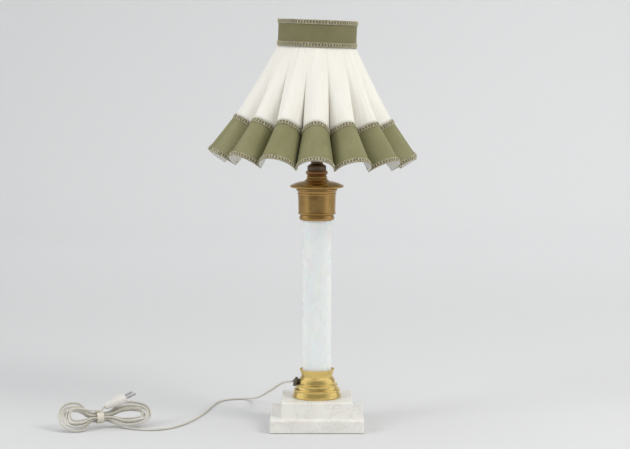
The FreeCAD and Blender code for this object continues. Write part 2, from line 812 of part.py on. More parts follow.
def rod_between(start, end, radius):
    """Straight round bar."""
    return Part.makeCylinder(radius, (end - start).Length, start, end - start)


def make_shade_cloth():
    """Lining, silk cover, collar band, frill with its own lining and the braid trims."""
    top_z = collar_bottom_z + collar_band_height
    lining_top = collar_band_radius - ring_inset - frame_wire - lining_gap
    lining_bottom = bottom_ring_radius - frame_wire - lining_gap
    add("shade_lining", leaned(cone_wall(lining_top, collar_bottom_z - lining_drop, lining_bottom,
                                         bottom_ring_z, lining_wall)))
    band = tube(collar_band_radius, collar_band_radius - collar_band_wall, collar_bottom_z, collar_band_height)
    add("collar_band", leaned(band))
    braid = tube(collar_trim_radius, collar_band_radius, 0, trim_width)
    for name, z in (("collar_trim_lower", collar_bottom_z), ("collar_trim_upper", top_z - trim_width)):
        ring = braid.copy()
        ring.translate(V(0, 0, z))
        add(name, leaned(ring))

    head = round_rim(collar_band_radius, collar_bottom_z)
    brow = fluted_rim(frill_peak_radius, frill_peak_z, frill_valley_radius, frill_valley_z)
    hem = fluted_rim(hem_peak_radius, hem_peak_z, hem_valley_radius, hem_valley_z)
    whole = 2 * cloth_wall
    cover = cloth(head, brow, inset(brow, whole, whole * 1.2), round_rim(collar_band_radius - whole, collar_bottom_z))
    add("shade_cover", leaned(cover))
    frill = cloth(brow, hem, inset(hem, cloth_wall, cloth_wall * 1.2), inset(brow, cloth_wall, cloth_wall * 1.2))
    add("frill", leaned(frill))
    frill_lining = cloth(inset(brow, cloth_wall, cloth_wall * 1.2), inset(hem, cloth_wall, cloth_wall * 1.2),
                         inset(hem, whole, whole * 1.2), inset(brow, whole, whole * 1.2))
    add("frill_lining", leaned(frill_lining))

    strip = math.hypot(hem_peak_radius - frill_peak_radius, frill_peak_z - hem_peak_z)
    share = trim_width / strip
    for name, start, end in (("frill_trim_upper", 0.0, share), ("frill_trim_hem", 1.0 - share, 1.0)):
        upper = between(brow, hem, start)
        lower = between(brow, hem, end)
        outer = trim_gap + trim_wall
        add(name, leaned(cloth(inset(upper, -outer, -trim_cusp), inset(lower, -outer, -trim_cusp),
                               inset(lower, -trim_gap, -trim_cusp * 0.4), inset(upper, -trim_gap, -trim_cusp * 0.4))))


def make_finial():
    """Turned knob that holds the shade down, with its threaded insert."""
    insert_top = finial_z + finial_insert_height
    add("finial_insert", tube(finial_insert_radius, stud_radius + 0.05, finial_z, finial_insert_height))
    room_top = stud_z + stud_height + 1.0
    waist = finial_radius * 0.62
    add("finial_knob", turned(
        (finial_insert_radius, finial_z),
        (finial_radius * 0.85, finial_z),
        ((finial_radius * 0.92, finial_z + 1.2), (waist, finial_z + 3.0)),
        ((finial_radius, finial_z + finial_height * 0.55), (waist * 0.6, finial_z + finial_height - 1.2)),
        ((waist * 0.45, finial_z + finial_height - 0.4), (waist * 0.2, finial_z + finial_height)),
        (0, finial_z + finial_height),
        (0, room_top),
        (stud_radius + 0.4, room_top),
        (stud_radius + 0.4, insert_top),
        (finial_insert_radius, insert_top)))


# ---------------------------------------------------------------- cord
def make_cord_entry():
    """Bushing through the foot's wall, its nut, and the cord inside up to the holder."""
    face = V(-bushing_face, 0, cord_exit_height)
    length = bushing_face - bushing_end
    nose = Part.makeCylinder(bushing_nose_radius, length, face, RIGHT)
    tilt = math.radians(bushing_tilt)
    outward = V(-math.cos(tilt), 0, math.sin(tilt))
    flange_at = V(-bushing_face + 1.0, 0, cord_exit_height + 0.4)
    flange = Part.makeCylinder(bushing_radius, bushing_thickness, flange_at, outward * -1)
    flange = flange.makeFillet(0.9, [flange.Edges[0], flange.Edges[2]])
    bore = Part.makeCylinder(cord_radius, length, face, RIGHT)
    add("cord_bushing", nose.fuse(flange).cut(bore).cut(parts["foot_shell"]).Solids[0])
    nut_at = V(-bushing_seat, 0, cord_exit_height)
    nut = Part.makeCylinder(bushing_nut_radius, bushing_nut_thickness, nut_at, RIGHT)
    add("bushing_nut", nut.cut(Part.makeCylinder(bushing_nose_radius + 0.02, bushing_nut_thickness, nut_at, RIGHT)))

    top = V(0, 0, holder_z + nut_thickness)
    corner = V(0, 0, cord_exit_height)
    start = corner - RIGHT * inner_bend
    end = corner + UP * inner_bend
    edges = [Part.LineSegment(face, start).toShape(), tangent_arc(start, corner, end),
             Part.LineSegment(end, top).toShape()]
    add("inner_cord", swept(edges, cord_radius))


free_points = [
    V(-bushing_face, 0, cord_exit_height), V(-53, 0, cord_exit_height), V(-66, 15, 64), V(-75, 47, 51.5),
    V(-84, 90, 39), V(-94, 132, 25), V(-105, 171, 12.5), V(-117, 203, 4.6), V(-135, 217, 1.9),
    V(-158, 213, 1.9), V(-175, 194, 1.9), V(-184, 163, 1.9), V(-190, 124, 1.9), V(-197, 81, 1.9),
    V(-208, 38, 1.9), V(-222, -4, 1.9), V(-242, -38, 1.9), V(-266, -54, 1.9), V(-291, -52, 1.9)]


def hank_point(along, across, z):
    """Point in the hank's own directions: along it, across it towards the back, and up."""
    angle = math.radians(hank_heading)
    way = V(math.cos(angle), math.sin(angle), 0)
    back = V(-math.sin(angle), math.cos(angle), 0)
    return hank_centre + way * along + back * across + V(0, 0, z)


def hank_way(along, across, z):
    """Unit direction in the hank's own directions."""
    return (hank_point(along, across, z) - hank_centre).normalize()


def tied_run(order):
    """Place of a run in the bundle under the tie: (rise, side) from the bundle's centre."""
    column = order % 3
    rows = len(range(column, 2 * hank_turns - 1, 3))
    return (order // 3 - (rows - 1) / 2) * hank_spacing, (column - 1) * hank_spacing


def lobe_point(along, rise, side, centre):
    """Point of a lobe: rise goes up and back in the lobe's slanted plane, side is square to it."""
    slant = math.radians(hank_slant)
    across = centre.y + rise * math.cos(slant) - side * math.sin(slant)
    return hank_point(along, across, centre.z + rise * math.sin(slant) + side * math.cos(slant))


def lobe_turn(tip, half, side_before, side_after, centre, sense):
    """Way points round one end of a loop, from the run before it to the run after it."""
    apex = hank_apex_left if tip < 0 else hank_apex_right
    apex = math.copysign(apex, tip)
    outwards = hank_way(math.copysign(1, tip), 0, 0)
    start = lobe_point(apex, -sense * half, side_before, centre)
    end = lobe_point(apex, sense * half, side_after, centre)
    middle = lobe_point(tip, 0, (side_before + side_after) / 2, centre)
    return [(start, outwards), (middle, (end - start).normalize()), (end, outwards * -1)]


def hank_route():
    """Way points of the wound cord, each with its unit direction.

    The loops lie inside one another; the last end passes over the tie to the plug.
    """
    inwards = hank_way(-1, 0, 0)
    outwards = hank_way(1, 0, 0)
    flat = tie_width / 2 + 0.3
    route = [(hank_start, (hank_start - free_points[-1]).normalize())]
    for turn in range(hank_turns):
        rise, side = tied_run(turn)
        route.append((lobe_point(flat, rise, side, waist_centre), inwards))
        route.append((lobe_point(-flat, rise, side, waist_centre), inwards))
        half = hank_half_left - hank_spacing * turn
        tip = -hank_left + hank_spacing * turn
        if turn == hank_turns - 1:
            route += lobe_turn(tip, half, side, 2 * hank_spacing, left_centre, 1)
            break
        rise_back, side_back = tied_run(2 * hank_turns - 2 - turn)
        route += lobe_turn(tip, half, side, side_back, left_centre, 1)
        route.append((lobe_point(-flat, rise_back, side_back, waist_centre), outwards))
        route.append((lobe_point(flat, rise_back, side_back, waist_centre), outwards))
        half = hank_half_right - hank_spacing * turn
        tip = hank_right - hank_spacing * turn
        route += lobe_turn(tip, half, side_back, tied_run(turn + 1)[1], right_centre, -1)
    over_tie = tie_radius + tie_wall + cord_radius + 0.5
    route.append((hank_point(-1, -3.0, waist_centre.z + over_tie), outwards))
    route.append((plug_tail, plug_way))
    return route


# hank's own directions: x along it, y across it towards the back, z up
waist_centre = V(0, 0, 18.0)
left_centre = V(0, -3.5, 22.4)
right_centre = V(0, -6.0, 21.2)
hank_start = hank_point(40, -24, cord_radius + 0.3)
plug_tail = hank_point(8.5, -3.2, 35.6)
plug_way = hank_way(0.95, 0.06, 0.38)
plug_side = hank_way(0, 1, 0)
tie_radius = math.hypot(hank_spacing, hank_spacing) + cord_radius + tie_gap


def least_gap(edges, step, skip):
    """Smallest distance between strands that are not neighbours along the wire."""
    points = []
    for edge in edges:
        count = max(2, int(edge.Length / step))
        points += edge.discretize(count)[:-1]
    best = 1e9
    for i, p in enumerate(points):
        for q in points[i + skip:]:
            gap = (p - q).Length
            if gap < best:
                best = gap
                where = p
    return best, where


def make_free_cord():
    """Free cord from the bushing to the hank, laid along the table."""
    start = hank_route()[0][0]
    edges, radii = rounded_route(free_points + [start])
    body = swept(edges, cord_radius)
    length = sum(e.Length for e in edges)
    print("free cord radii", [round(r, 1) for r in radii])
    print("free cord length", round(length, 1), "volume share",
          round(body.Volume / (math.pi * cord_radius ** 2 * length), 4))
    add("cord_free", body)


def make_hank():
    """The rest of the cord, wound in flat loops and drawn in at the waist by a band."""
    route = hank_route()
    edges = []
    for (start, start_way), (end, end_way) in zip(route, route[1:]):
        edges += biarc(start, start_way, end, end_way)
    body = swept(edges, cord_radius)
    length = sum(e.Length for e in edges)
    gap, where = least_gap(edges, 2.0, 12)
    print("hank length", round(length, 1), "volume share",
          round(body.Volume / (math.pi * cord_radius ** 2 * length), 4))
    print("least gap", round(gap - 2 * cord_radius, 2), "at", where)
    add("cord_hank", body)

    start = hank_point(-tie_width / 2, 0, waist_centre.z)
    along = hank_way(1, 0, 0)
    ring = Part.makeCylinder(tie_radius + tie_wall, tie_width, start, along)
    add("hank_tie", ring.cut(Part.makeCylinder(tie_radius, tie_width, start, along)))


def plug_section(distance, width, thickness):
    """Rounded flat section of the plug, square to its length."""
    centre = plug_tail + plug_way * distance
    side = V(plug_side)
    normal = plug_way.cross(side).normalize()
    side = normal.cross(plug_way).normalize()
    straight = (width - thickness) / 2
    corners = []
    for sign in (-1, 1):
        corners.append(centre + side * (straight * sign))
    up = normal * (thickness / 2)
    out = side * (thickness / 2)
    edges = edges_of(corners[0] - up, [
        corners[1] - up,
        (corners[1] + out, corners[1] + up),
        corners[0] + up,
        (corners[0] - out, corners[0] - up)])
    return Part.Wire(edges)


def make_plug():
    """Flat two-pin plug with a tapering tail."""
    tail = Part.makeLoft([plug_section(0, plug_tail_width, plug_tail_thickness),
                          plug_section(plug_length - plug_nose, plug_width, plug_thickness)], True, True)
    nose = Part.makeLoft([plug_section(plug_length - plug_nose, plug_width, plug_thickness),
                          plug_section(plug_length, plug_width, plug_thickness)], True, True)
    add("plug_body", tail.fuse(nose).removeSplitter())
    front = plug_tail + plug_way * plug_length
    normal = plug_way.cross(V(plug_side)).normalize()
    side = normal.cross(plug_way).normalize()
    pins = []
    for sign in (-1, 1):
        at = front + side * (sign * pin_spacing / 2)
        pin = Part.makeCylinder(pin_radius, pin_length - pin_radius, at, plug_way)
        tip = Part.makeSphere(pin_radius, at + plug_way * (pin_length - pin_radius))
        pins.append(pin.fuse(tip).removeSplitter())
    add("plug_pins", Part.makeCompound(pins))


# ---------------------------------------------------------------- build and write
def main():
    """Make every piece and write each to its own file."""
    make_plinth()
    make_tie_rod()
    make_foot()
    make_column()
    make_capital()
    make_locking_collar()
    make_bow()
    make_holder()
    make_bulb()
    make_shade_frame()
    make_shade_cloth()
    make_finial()
    make_cord_entry()
    make_free_cord()
    make_hank()
    make_plug()
    os.makedirs("parts", exist_ok=True)
    for name, shape in parts.items():
        solids = shape.Solids
        state = "ok" if shape.isValid() and solids else "BROKEN"
        print(name, state, len(solids), round(shape.Volume, 1))
        shape.exportStep("parts/" + name + ".step")


main()
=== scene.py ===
import json
import math

import bpy
import numpy as np
from mathutils import Matrix, Vector


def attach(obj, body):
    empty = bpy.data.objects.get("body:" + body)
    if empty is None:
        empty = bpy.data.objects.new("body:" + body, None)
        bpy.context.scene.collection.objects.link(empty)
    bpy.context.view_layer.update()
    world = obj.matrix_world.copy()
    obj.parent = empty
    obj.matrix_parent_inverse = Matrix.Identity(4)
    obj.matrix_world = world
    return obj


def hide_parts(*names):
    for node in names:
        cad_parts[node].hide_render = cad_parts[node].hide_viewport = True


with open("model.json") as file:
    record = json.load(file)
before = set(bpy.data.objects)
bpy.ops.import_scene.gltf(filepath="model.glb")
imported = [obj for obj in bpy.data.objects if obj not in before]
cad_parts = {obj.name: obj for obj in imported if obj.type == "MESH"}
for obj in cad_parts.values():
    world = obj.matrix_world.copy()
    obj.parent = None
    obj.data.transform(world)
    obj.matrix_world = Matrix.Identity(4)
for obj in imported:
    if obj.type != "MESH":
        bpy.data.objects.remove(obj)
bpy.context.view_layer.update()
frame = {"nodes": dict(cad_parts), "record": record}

mm = 0.001
nodes = frame["nodes"]
scene = bpy.context.scene
print("frame loaded:", len(nodes), "nodes")


# camera
cameraView = {
    "x": -3.16,          # mm, a hair left of the column
    "distance": 2900.0,  # mm in front of it
    "height": 608.0,     # mm above the table
    "pitch": 5.302,      # degrees down
    "lens": 99.58,       # mm on a 36 mm sensor
}


def makeCamera():
    data = bpy.data.cameras.new("camera")
    data.lens = cameraView["lens"]
    data.sensor_width = 36.0
    data.clip_end = 40.0
    camera = bpy.data.objects.new("camera", data)
    camera.location = (cameraView["x"] * mm, -cameraView["distance"] * mm, cameraView["height"] * mm)
    camera.rotation_euler = (math.radians(90.0 - cameraView["pitch"]), 0.0, 0.0)
    scene.collection.objects.link(camera)
    scene.camera = camera


makeCamera()
scene.view_settings.view_transform = "Standard"
print("camera set")


# making meshes
def linkPiece(name, data):
    piece = bpy.data.objects.new(name, data)
    scene.collection.objects.link(piece)
    return piece


def meshPiece(name, points, faces, material=None, smooth=True):
    data = bpy.data.meshes.new(name)
    data.from_pydata([tuple(p) for p in points], [], [tuple(f) for f in faces])
    data.validate()
    if smooth:
        data.shade_smooth()
    if material is not None:
        data.materials.append(material)
    return linkPiece(name, data)


def unit(vectors):
    vectors = np.asarray(vectors, float)
    return vectors / np.maximum(np.linalg.norm(vectors, axis=-1, keepdims=True), 1e-12)


def gridFaces(rows, columns):
    faces = []
    for r in range(rows - 1):
        for c in range(columns):
            d = (c + 1) % columns
            faces.append((r * columns + c, r * columns + d, (r + 1) * columns + d, (r + 1) * columns + c))
    return faces


# cord: free run, then the tied hank, one spline from the bushing to the plug
cordPlan = {
    "exit": (-39.4, 0.0, 73.6),
    "route": [(-53, 0, 73.6), (-66, 15, 64), (-75, 47, 51.5), (-84, 90, 39), (-94, 132, 25),
              (-105, 171, 12.5), (-117, 203, 4.6), (-135, 217, 1.9), (-158, 213, 1.9),
              (-175, 194, 1.9), (-184, 163, 1.9), (-190, 124, 1.9), (-197, 81, 1.9),
              (-208, 38, 1.9), (-222, -4, 1.9), (-242, -38, 1.9), (-266, -54, 1.9), (-291, -52, 1.9)],
    "width": 4.6,
    "thickness": 3.1,
    "twist": 34.0,
    "wander": 22.0,
    "hankMiddle": (-363.0, -30.0, 0.0),
    "hankHeading": 20.0,
    "turns": 5,
    "slant": 37.0,
    "tipLeft": 70.0,
    "tipRight": 85.0,
    "apexLeft": 43.0,
    "apexRight": 50.0,
    "halfLeft": 27.2,
    "halfRight": 23.0,
    "spacing": 4.6,
    "flatRun": 6.05,
    "waist": (0.0, 18.0),
    "leftMiddle": (-3.5, 22.4),
    "rightMiddle": (-6.0, 21.2),
    "start": (40.0, -24.0, 2.1),
    "overTie": (-1.0, -3.0, 30.2),
    "plugTail": (8.5, -3.2, 35.6),
    "plugWay": (0.95, 0.06, 0.38),
    "plugSide": (0, 1, 0),
}


def hankWay(along, across, up):
    turn = math.radians(cordPlan["hankHeading"])
    way = Vector((math.cos(turn), math.sin(turn), 0.0))
    back = Vector((-math.sin(turn), math.cos(turn), 0.0))
    return way * along + back * across + Vector((0, 0, up))


def hankPoint(along, across, up):
    return Vector(cordPlan["hankMiddle"]) + hankWay(along, across, up)


def tiedRun(order):
    turns = cordPlan["turns"]
    column = order % 3
    rows = len(range(column, 2 * turns - 1, 3))
    return (order // 3 - (rows - 1) / 2) * cordPlan["spacing"], (column - 1) * cordPlan["spacing"]


def lobePoint(along, rise, side, middle):
    slant = math.radians(cordPlan["slant"])
    across = middle[0] + rise * math.cos(slant) - side * math.sin(slant)
    return hankPoint(along, across, middle[1] + rise * math.sin(slant) + side * math.cos(slant))


def lobeTurn(tip, half, sideBefore, sideAfter, middle, sense):
    sign = math.copysign(1.0, tip)
    apex = sign * (cordPlan["apexLeft"] if tip < 0 else cordPlan["apexRight"])
    outwards = hankWay(sign, 0, 0)
    start = lobePoint(apex, -sense * half, sideBefore, middle)
    end = lobePoint(apex, sense * half, sideAfter, middle)
    top = lobePoint(tip, 0, (sideBefore + sideAfter) / 2, middle)
    return [(start, outwards), (top, (end - start).normalized()), (end, -outwards)]


def hankWaypoints():
    inwards = hankWay(-1, 0, 0)
    outwards = hankWay(1, 0, 0)
    flat = cordPlan["flatRun"]
    turns = cordPlan["turns"]
    start = hankPoint(*cordPlan["start"])
    way = (start - Vector(cordPlan["route"][-1])).normalized()
    stops = [(start, way)]
    for turn in range(turns):
        rise, side = tiedRun(turn)
        stops.append((lobePoint(flat, rise, side, cordPlan["waist"]), inwards))
        stops.append((lobePoint(-flat, rise, side, cordPlan["waist"]), inwards))
        step = cordPlan["spacing"] * turn
        if turn == turns - 1:
            stops += lobeTurn(-cordPlan["tipLeft"] + step, cordPlan["halfLeft"] - step, side,
                              2 * cordPlan["spacing"], cordPlan["leftMiddle"], 1)
            break
        riseBack, sideBack = tiedRun(2 * turns - 2 - turn)
        stops += lobeTurn(-cordPlan["tipLeft"] + step, cordPlan["halfLeft"] - step, side, sideBack,
                          cordPlan["leftMiddle"], 1)
        stops.append((lobePoint(-flat, riseBack, sideBack, cordPlan["waist"]), outwards))
        stops.append((lobePoint(flat, riseBack, sideBack, cordPlan["waist"]), outwards))
        stops += lobeTurn(cordPlan["tipRight"] - step, cordPlan["halfRight"] - step, sideBack,
                          tiedRun(turn + 1)[1], cordPlan["rightMiddle"], -1)
    stops.append((hankPoint(*cordPlan["overTie"]), outwards))
    stops.append((hankPoint(*cordPlan["plugTail"]), hankWay(*cordPlan["plugWay"]).normalized()))
    return stops


def cornersBetween(start, startWay, end, endWay):
    span = end - start
    across = span.dot(startWay + endWay)
    bend = 2 * (1 - startWay.dot(endWay))
    if bend < 1e-9:
        reach = span.dot(span) / (2 * across)
    else:
        reach = (math.sqrt(across * across + bend * span.dot(span)) - across) / bend
    return [start + startWay * reach, end - endWay * reach]


def cordSpline():
    stops = hankWaypoints()
    points = [Vector(cordPlan["exit"])] + [Vector(p) for p in cordPlan["route"]]
    for before, after in zip(stops, stops[1:]):
        points += cornersBetween(before[0], before[1], after[0], after[1])
    points.append(stops[-1][0])
    data = bpy.data.curves.new("cordLine", "CURVE")
    data.dimensions = "3D"
    data.resolution_u = 7
    spline = data.splines.new("NURBS")
    spline.points.add(len(points) - 1)
    for place, point in zip(spline.points, points):
        place.co = (point.x * mm, point.y * mm, point.z * mm, 1.0)
    spline.order_u = 3
    spline.use_endpoint_u = True
    line = linkPiece("cordLine", data)
    bpy.context.view_layer.update()
    flat = bpy.data.meshes.new_from_object(line.evaluated_get(bpy.context.evaluated_depsgraph_get()))
    path = np.array([v.co[:] for v in flat.vertices])
    bpy.data.meshes.remove(flat)
    bpy.data.objects.remove(line)
    return path


def cordProfile(count=18):
    half = cordPlan["width"] / 2 * mm
    thin = cordPlan["thickness"] / 2 * mm
    outline = []
    for k in range(count):
        turn = 2 * math.pi * k / count
        lift = math.copysign(abs(math.sin(turn)) ** 0.7, math.sin(turn))
        groove = 1.0 - 0.24 * math.exp(-(math.cos(turn) / 0.2) ** 2)
        outline.append((half * math.cos(turn), thin * lift * groove))
    return outline


def smoothStep(value):
    value = np.clip(value, 0.0, 1.0)
    return value * value * (3 - 2 * value)


def makeCord(material):
    path = cordSpline()
    along = unit(np.gradient(path, axis=0))
    run = np.concatenate([[0.0], np.cumsum(np.linalg.norm(np.diff(path, axis=0), axis=1))])
    hankFrom = run[np.argmin(np.linalg.norm(path - np.array(hankPoint(*cordPlan["start"])) * mm, axis=1))]
    slant = math.radians(cordPlan["slant"])
    flatWays = -np.cross(along, (0.0, 0.0, 1.0))
    hankSide = np.array(hankWay(0, -math.sin(slant), math.cos(slant)))
    plugSide = -np.array(hankWay(*cordPlan["plugSide"]))
    mix = smoothStep((run - hankFrom + 0.03) / 0.06)[:, None]
    side = unit(flatWays) * (1 - mix) + hankSide * mix
    mix = smoothStep((run - run[-1] + 0.05) / 0.04)[:, None]
    side = side * (1 - mix) + plugSide * mix
    side = unit(side - along * np.sum(side * along, axis=1)[:, None])
    lift = np.cross(along, side)
    wound = smoothStep((run - hankFrom) / 0.04) * smoothStep((run[-1] - 0.04 - run) / 0.03)
    twist = cordPlan["twist"] * np.sign(side[:, 2] + 1e-9) * -1.0 + cordPlan["wander"] * np.sin(run * 41.0)
    twist = np.radians(twist * wound)[:, None]
    side, lift = side * np.cos(twist) + lift * np.sin(twist), lift * np.cos(twist) - side * np.sin(twist)
    outline = cordProfile()
    points = np.stack([path + side * x + lift * y for x, y in outline], axis=1).reshape(-1, 3)
    columns = len(outline)
    faces = gridFaces(len(path), columns)
    faces.append(tuple(range(columns - 1, -1, -1)))
    faces.append(tuple(range((len(path) - 1) * columns, len(path) * columns)))
    piece = meshPiece("mains_cord", points, faces, material)
    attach(piece, "lamp")
    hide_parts("cord_free", "cord_hank")
    print("cord length", round(float(run[-1]), 3))
    return piece


# materials
def newMaterial(name, **settings):
    material = bpy.data.materials.new(name)
    material.use_nodes = True
    shader = material.node_tree.nodes["Principled BSDF"]
    for socket, value in settings.items():
        key = socketNames[socket]
        shader.inputs[key].default_value = value if not isinstance(value, tuple) else (*value, 1.0)[:4]
    return material, shader


socketNames = {
    "color": "Base Color", "metal": "Metallic", "rough": "Roughness", "coat": "Coat Weight",
    "coatRough": "Coat Roughness", "sheen": "Sheen Weight", "sheenRough": "Sheen Roughness",
    "subsurface": "Subsurface Weight", "subsurfaceScale": "Subsurface Scale", "ior": "IOR",
    "transmission": "Transmission Weight", "alpha": "Alpha", "specular": "Specular IOR Level",
}


def addNode(material, kind, **inputs):
    node = material.node_tree.nodes.new(kind)
    for key, value in inputs.items():
        if key in node.inputs:
            node.inputs[key].default_value = value
        else:
            setattr(node, key, value)
    return node


def wire(material, output, target):
    material.node_tree.links.new(output, target)


def place(material, scale=(1.0, 1.0, 1.0), source="Object"):
    if source == "Object":
        coordinates = addNode(material, "ShaderNodeTexCoord").outputs["Object"]
    else:
        coordinates = addNode(material, "ShaderNodeUVMap", uv_map=source).outputs["UV"]
    mapping = addNode(material, "ShaderNodeMapping")
    mapping.inputs["Scale"].default_value = scale
    wire(material, coordinates, mapping.inputs["Vector"])
    return mapping.outputs["Vector"]


def noise(material, vector, scale, detail=3.0, rough=0.55, distortion=0.0):
    texture = addNode(material, "ShaderNodeTexNoise", Scale=scale, Detail=detail, Roughness=rough,
                      Distortion=distortion)
    wire(material, vector, texture.inputs["Vector"])
    return texture.outputs["Fac"]


def ramp(material, value, stops):
    node = addNode(material, "ShaderNodeValToRGB")
    elements = node.color_ramp.elements
    while len(elements) < len(stops):
        elements.new(0.5)
    for element, (position, color) in zip(elements, stops):
        element.position = position
        element.color = (*color, 1.0) if len(color) == 3 else color
    wire(material, value, node.inputs["Fac"])
    return node.outputs["Color"]


def level(material, value, low, high, fromLow=0.3, fromHigh=0.7):
    node = addNode(material, "ShaderNodeMapRange")
    node.inputs["From Min"].default_value = fromLow
    node.inputs["From Max"].default_value = fromHigh
    node.inputs["To Min"].default_value = low
    node.inputs["To Max"].default_value = high
    wire(material, value, node.inputs["Value"])
    return node.outputs["Result"]


def mixColors(material, share, first, second, blend="MIX"):
    node = addNode(material, "ShaderNodeMix")
    node.data_type = "RGBA"
    node.blend_type = blend
    for value, socket in ((share, node.inputs[0]), (first, node.inputs[6]), (second, node.inputs[7])):
        if hasattr(value, "is_linked"):
            wire(material, value, socket)
        elif isinstance(value, tuple):
            socket.default_value = (*value, 1.0)
        else:
            socket.default_value = value
    return node.outputs[2]


def bump(material, shader, height, strength, distance):
    node = addNode(material, "ShaderNodeBump", Strength=strength, Distance=distance)
    wire(material, height, node.inputs["Height"])
    wire(material, node.outputs["Normal"], shader.inputs["Normal"])


def addValues(material, first, second, factor):
    node = addNode(material, "ShaderNodeMath", operation="MULTIPLY_ADD")
    wire(material, second, node.inputs[0])
    node.inputs[1].default_value = factor
    wire(material, first, node.inputs[2])
    return node.outputs[0]


def marbleFinish():
    look = {"white": (0.83, 0.82, 0.775), "shade": (0.76, 0.75, 0.705), "vein": (0.66, 0.645, 0.60)}
    material, shader = newMaterial("marble", rough=0.42, subsurface=0.12, subsurfaceScale=0.006,
                                   color=look["white"])
    vector = place(material)
    cloud = noise(material, vector, 22.0, 5.0, 0.6, 0.6)
    veins = noise(material, vector, 11.0, 6.0, 0.62, 1.8)
    base = ramp(material, cloud, [(0.32, look["shade"]), (0.6, look["white"])])
    line = ramp(material, veins, [(0.47, (0, 0, 0)), (0.5, (0.55, 0.55, 0.55)), (0.53, (0, 0, 0))])
    color = mixColors(material, line, base, look["vein"])
    wire(material, color, shader.inputs["Base Color"])
    grain = noise(material, vector, 900.0, 3.0, 0.6)
    wire(material, level(material, noise(material, vector, 60.0), 0.34, 0.52), shader.inputs["Roughness"])
    bump(material, shader, addValues(material, noise(material, vector, 45.0, 4.0), grain, 0.25), 0.35,
         0.0006)
    return material


def brassFinish(name, bright, dull, dark, rough):
    material, shader = newMaterial(name, metal=1.0, color=bright, rough=rough)
    vector = place(material)
    patches = noise(material, vector, 38.0, 5.0, 0.62, 0.4)
    specks = noise(material, vector, 260.0, 4.0, 0.7)
    color = ramp(material, patches, [(0.3, dull), (0.52, bright), (0.8, dull)])
    spotted = ramp(material, specks, [(0.6, (0, 0, 0)), (0.78, (0.6, 0.6, 0.6))])
    wire(material, mixColors(material, spotted, color, dark), shader.inputs["Base Color"])
    wire(material, level(material, patches, rough * 0.75, rough * 1.7), shader.inputs["Roughness"])
    rings = noise(material, place(material, (6.0, 6.0, 900.0)), 1.0, 2.0, 0.5)
    bump(material, shader, addValues(material, rings, specks, 0.5), 0.12, 0.0004)
    return material


def opalFinish():
    material, shader = newMaterial("opal_glass", color=(0.86, 0.86, 0.85), rough=0.24, subsurface=0.35,
                                   subsurfaceScale=0.012, coat=0.25, coatRough=0.12)
    vector = place(material, (1.0, 1.0, 0.35))
    cloud = noise(material, vector, 16.0, 4.0, 0.55)
    color = ramp(material, cloud, [(0.3, (0.85, 0.848, 0.84)), (0.65, (0.88, 0.878, 0.868))])
    wire(material, color, shader.inputs["Base Color"])
    wire(material, level(material, noise(material, vector, 70.0), 0.2, 0.34), shader.inputs["Roughness"])
    bump(material, shader, noise(material, vector, 30.0, 3.0), 0.03, 0.0003)
    return material


def clothFinish(name, color, dim, weave, thread=0.25, sheen=0.35, rough=0.62, slub=0.5):
    material, shader = newMaterial(name, color=color, rough=rough, sheen=sheen, sheenRough=0.4, specular=0.2)
    warp = noise(material, place(material, (1 / (thread * mm), 120.0, 1.0), "weave"), 1.0, 2.0, 0.5)
    weft = noise(material, place(material, (90.0, 1 / (thread * mm), 1.0), "weave"), 1.0, 2.0, 0.5)
    threads = addValues(material, warp, weft, 0.8)
    soft = noise(material, place(material, (30.0, 18.0, 1.0), "weave"), 1.0, 4.0, 0.55)
    base = ramp(material, soft, [(0.3, dim), (0.62, color)])
    dark = tuple(c * (1 - weave) for c in dim)
    lines = ramp(material, threads, [(0.62, (0.7, 0.7, 0.7)), (0.86, (0, 0, 0))])
    wire(material, mixColors(material, lines, base, dark), shader.inputs["Base Color"])
    bump(material, shader, addValues(material, threads, soft, slub), 0.35, 0.0003)
    return material


def braidFinish():
    material, shader = newMaterial("braid", color=(0.42, 0.39, 0.27), rough=0.6, sheen=0.3, sheenRough=0.4)
    vector = place(material)
    strands = noise(material, vector, 420.0, 3.0, 0.6)
    color = ramp(material, strands, [(0.3, (0.16, 0.138, 0.083)), (0.44, (0.36, 0.33, 0.218)),
                                     (0.6, (0.57, 0.52, 0.355)), (0.75, (0.84, 0.79, 0.60))])
    wire(material, color, shader.inputs["Base Color"])
    bump(material, shader, noise(material, vector, 2600.0, 2.0), 0.5, 0.0003)
    return material


def plainFinish(name, color, dim, rough, metal=0.0, scale=60.0, grain=0.1, depth=0.0003, **more):
    material, shader = newMaterial(name, color=color, rough=rough, metal=metal, **more)
    vector = place(material)
    cloud = noise(material, vector, scale, 4.0, 0.6)
    wire(material, ramp(material, cloud, [(0.3, dim), (0.65, color)]), shader.inputs["Base Color"])
    wire(material, level(material, noise(material, vector, scale * 3), rough * 0.85, rough * 1.2),
         shader.inputs["Roughness"])
    bump(material, shader, noise(material, vector, scale * 14, 3.0), grain, depth)
    return material


def glassFinish(name, rough=0.03):
    material, shader = newMaterial(name, color=(0.97, 0.98, 0.98), rough=rough, transmission=1.0, ior=1.45)
    vector = place(material)
    wire(material, level(material, noise(material, vector, 40.0), rough, rough * 2),
         shader.inputs["Roughness"])
    return material


